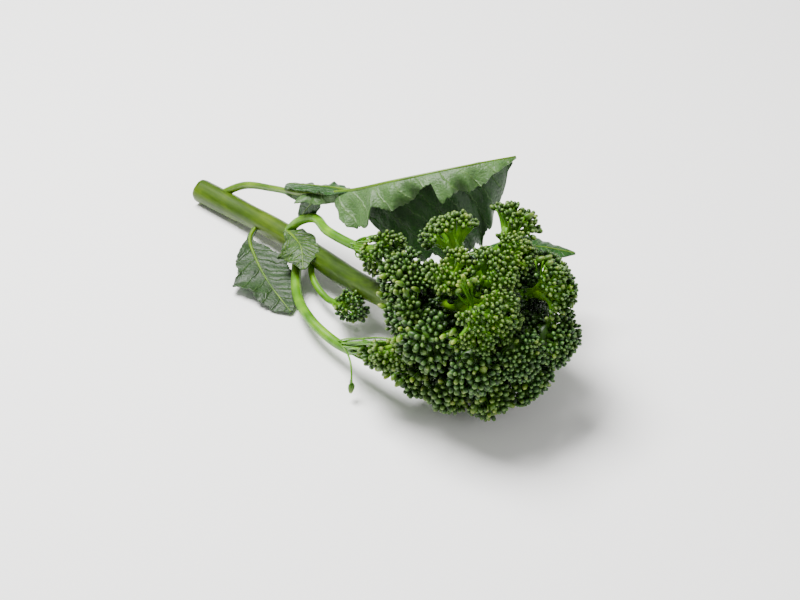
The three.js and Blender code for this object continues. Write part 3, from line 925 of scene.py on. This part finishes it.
# Makes one leaf. near and far are its widths on each side of the midrib, as (share of its length,
# millimetres). The blade turns down by the two angles of hang, within fold millimetres of the midrib.
# ruffle is the height and the length of the waves along its margin.
def make_leaf(name, node, midrib, near, far, hang, fold, rib, ruffle, outer, inner, vein_gap, roll=0):
    line = smooth_line(midrib, 601)
    length = sum((b - a).length for a, b in zip(line, line[1:])) / MM
    length_steps = min(300, round(length / 0.45))
    widest = max(width for _, width in near + far)
    width_steps = max(10, round(widest / 0.6))
    frames = []
    for i, place in enumerate(line):
        ahead = (line[min(i + 6, len(line) - 1)] - line[max(i - 6, 0)]).normalized()
        far_side = Vector((0, 0, 1)).cross(ahead).normalized()
        far_side.rotate(Matrix.Rotation(math.radians(roll), 3, ahead))
        frames.append((place, far_side, ahead.cross(far_side)))

    bm = bmesh.new()
    bmesh.ops.create_grid(bm, x_segments=length_steps, y_segments=2 * width_steps, size=0.5)
    flat_place = bm.verts.layers.float_vector.new("flat_place")
    vein_place = bm.verts.layers.float_vector.new("vein_place")
    for vert in bm.verts:
        u, across = vert.co.x + 0.5, 2 * vert.co.y
        side = -1 if across < 0 else 1
        share = abs(across)
        place, far_side, raised = frames[round(u * (len(frames) - 1))]
        outward = far_side * side
        width = along(near if side < 0 else far, u)
        blade = min(1.0, max(0.0, (width - 1.8) / 3))
        reach = u * length
        lobe = noise.noise(Vector((reach / 6, 5.3 * side, widest)))
        tooth = abs((reach / 2.3 + 0.8 * noise.noise(Vector((reach / 4, side, 2.0)))) % 1 - 0.3)
        width += blade * (min(5, 0.3 * width) * lobe - min(1.5, 0.12 * width) * tooth)
        down = math.radians(hang[0 if side < 0 else 1])
        at = place.copy()
        move = share * width / BEND_STEPS
        angle = 0.0
        for i in range(BEND_STEPS):
            angle = down * (1 - math.exp(-(i + 0.5) * move / fold))
            at += (outward * math.cos(angle) - raised * math.sin(angle)) * move * MM
        distance = share * width
        normal = outward * math.sin(angle) + raised * math.cos(angle)
        veins = (reach - distance * 0.75) / vein_gap
        wave = noise.noise(Vector((reach / ruffle[1], 2.7 * side, distance / 25 + widest)))
        curl = noise.noise(Vector((reach / (0.35 * ruffle[1]), 4.1 * side, distance / 9 + widest)))
        puff = 0.22 * math.cos(math.tau * veins) * min(1.0, distance / 3)
        ruffled = ruffle[0] if side < 0 else 0.5 * ruffle[0]
        lift = ruffled * (2.2 * wave * share + 0.9 * curl * share**2) - puff
        at += normal * lift * blade * MM
        at.z = max(at.z, (0.1 + BLADE_THICKNESS) * MM)
        vert[flat_place] = (reach, across * width, 0.0)
        vert[vein_place] = (veins, distance, 0.0)
        vert.co = at
    for face in bm.faces:
        face.smooth = True
    bmesh.ops.recalc_face_normals(bm, faces=bm.faces)
    middle_face = min(bm.faces, key=lambda face: (face.calc_center_median() - line[len(line) // 2]).length)
    if middle_face.normal.dot(frames[len(frames) // 2][2]) < 0:
        bmesh.ops.reverse_faces(bm, faces=bm.faces)
    blade_mesh = bpy.data.meshes.new(name + "_blade")
    bm.to_mesh(blade_mesh)
    bm.free()
    blade_piece = new_piece(name + "_blade", blade_mesh, [outer, inner])
    wall = blade_piece.modifiers.new("wall", "SOLIDIFY")
    wall.thickness = BLADE_THICKNESS * MM
    wall.offset = -1.0
    wall.material_offset = 1
    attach(blade_piece, "root")
    if node:
        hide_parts(node)

    rib_run = []
    for i in range(0, len(line), 8):
        u = i / (len(line) - 1)
        rib_run.append((line[i], rib * (0.2 + 0.8 * (1 - u) ** 1.4) * MM))
    rib_piece = new_piece(name + "_midrib", tubes(name + "_midrib", [rib_run], 12), [leaf_rib])
    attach(rib_piece, "root")


make_leaf(
    "large_leaf",
    "large_leaf",
    [
        stem_at(8 - STEM_LENGTH),
        over_surface(-0.88 * STEM_LENGTH, 6.5, 14),
        over_surface(-0.77 * STEM_LENGTH, 8, 21),
        from_head(-0.64 * STEM_LENGTH, 7, -5),
        from_head(-80, 11, 5.5),
        from_head(-65, 18, 14),
        from_head(-52, 29, 20),
        from_head(-43, 42, 22.5),
        from_head(-39, 56, 21),
    ],
    near=[
        (0, 1.5),
        (0.3, 1.5),
        (0.4, 5),
        (0.5, 4),
        (0.56, 17),
        (0.6, 14),
        (0.625, 7),
        (0.66, 10.5),
        (0.72, 9),
        (0.775, 4),
        (0.79, 11),
        (0.87, 11),
        (0.92, 5),
        (0.97, 3),
        (1, 0.8),
    ],
    far=[
        (0, 1.5),
        (0.3, 1.5),
        (0.4, 6),
        (0.52, 7),
        (0.6, 24),
        (0.68, 34),
        (0.8, 35),
        (0.88, 35),
        (0.94, 29),
        (0.98, 18),
        (1, 5),
    ],
    hang=(76, 108),
    fold=3.2,
    rib=1.7,
    ruffle=(3.2, 9),
    outer=leaf_under,
    inner=leaf_upper,
    vein_gap=8.5,
)
# Two small lobes where the large leaf's blade begins, which show its dark upper side.
make_leaf(
    "large_leaf_ear",
    None,
    [
        from_head(-80, 11.5, 5.5),
        from_head(-91, 11, 1.5),
        from_head(-102, 10.5, -3),
        from_head(-116, 10.5, -9.5),
    ],
    near=[(0, 1.5), (0.2, 4), (0.6, 4), (0.85, 3), (1, 0.8)],
    far=[(0, 1.5), (0.2, 5.5), (0.6, 8), (0.85, 6), (1, 0.8)],
    hang=(45, -25),
    fold=5,
    rib=0.6,
    ruffle=(1.4, 8),
    outer=leaf_upper,
    inner=leaf_under,
    vein_gap=4.5,
)
make_leaf(
    "large_leaf_lobe",
    None,
    [
        from_head(-93, 8, -0.5),
        from_head(-96, 7, -5.5),
        from_head(-99, 5.5, -10.5),
        from_head(-101, 4, -15),
    ],
    near=[(0, 1), (0.3, 4), (0.65, 4.5), (0.85, 3.5), (1, 0.8)],
    far=[(0, 1), (0.3, 3.5), (0.65, 4), (0.85, 3), (1, 0.8)],
    roll=-65,
    hang=(20, 20),
    fold=4,
    rib=0.5,
    ruffle=(1.2, 6),
    outer=leaf_upper,
    inner=leaf_under,
    vein_gap=4,
)
make_leaf(
    "stem_leaf",
    "stem_leaf",
    [
        stem_at(-108),
        stem_at(-104) + mm(0, -2.5, 5),
        stem_at(-98) + mm(0, -3.5, 5.6),
        stem_at(-90) + mm(0, -5.5, 5.2),
        stem_at(-83) + mm(0, -10, 1),
    ],
    near=[(0, 0.8), (0.25, 1.0), (0.42, 6), (0.62, 8.5), (0.82, 7), (1, 0.8)],
    far=[(0, 0.8), (0.25, 1.0), (0.42, 5), (0.62, 7), (0.82, 6), (1, 0.8)],
    hang=(55, -20),
    fold=4,
    rib=0.8,
    ruffle=(2.4, 4.2),
    outer=leaf_pale,
    inner=leaf_pale,
    vein_gap=3.2,
)
make_leaf(
    "lower_leaf",
    "lower_leaf",
    [
        stem_at(-124),
        over_surface(-119, -6.5, 6),
        over_surface(-109, -12, 5),
        over_surface(-95, -17, 3.5),
        over_surface(-77, -21, 2),
    ],
    near=[(0, 1.0), (0.2, 1.2), (0.4, 9), (0.62, 12), (0.85, 8), (1, 0.8)],
    far=[(0, 1.0), (0.2, 1.2), (0.38, 8), (0.6, 11), (0.85, 8), (1, 0.8)],
    hang=(-14, -10),
    fold=6,
    rib=0.9,
    ruffle=(1.6, 8),
    # Its underside has painted shade.
    outer=leaf_under_painted_shade,
    inner=leaf_upper,
    vein_gap=6,
)
make_leaf(
    "crown_leaf",
    "crown_leaf",
    [
        stem_at(-47),
        from_head(-42, 9, -12),
        from_head(-35, 20, -6),
        from_head(-24, 32, -1),
        from_head(-14, 43, 0.5),
        from_head(-6, 55, -4),
    ],
    near=[(0, 0.9), (0.45, 1.1), (0.62, 6), (0.8, 6.5), (0.93, 3.5), (1, 0.6)],
    far=[(0, 0.9), (0.45, 1.1), (0.62, 6), (0.8, 6.5), (0.93, 3.5), (1, 0.6)],
    hang=(25, 25),
    fold=5,
    rib=0.9,
    ruffle=(0.6, 10),
    outer=leaf_upper,
    inner=leaf_under,
    vein_gap=5,
)
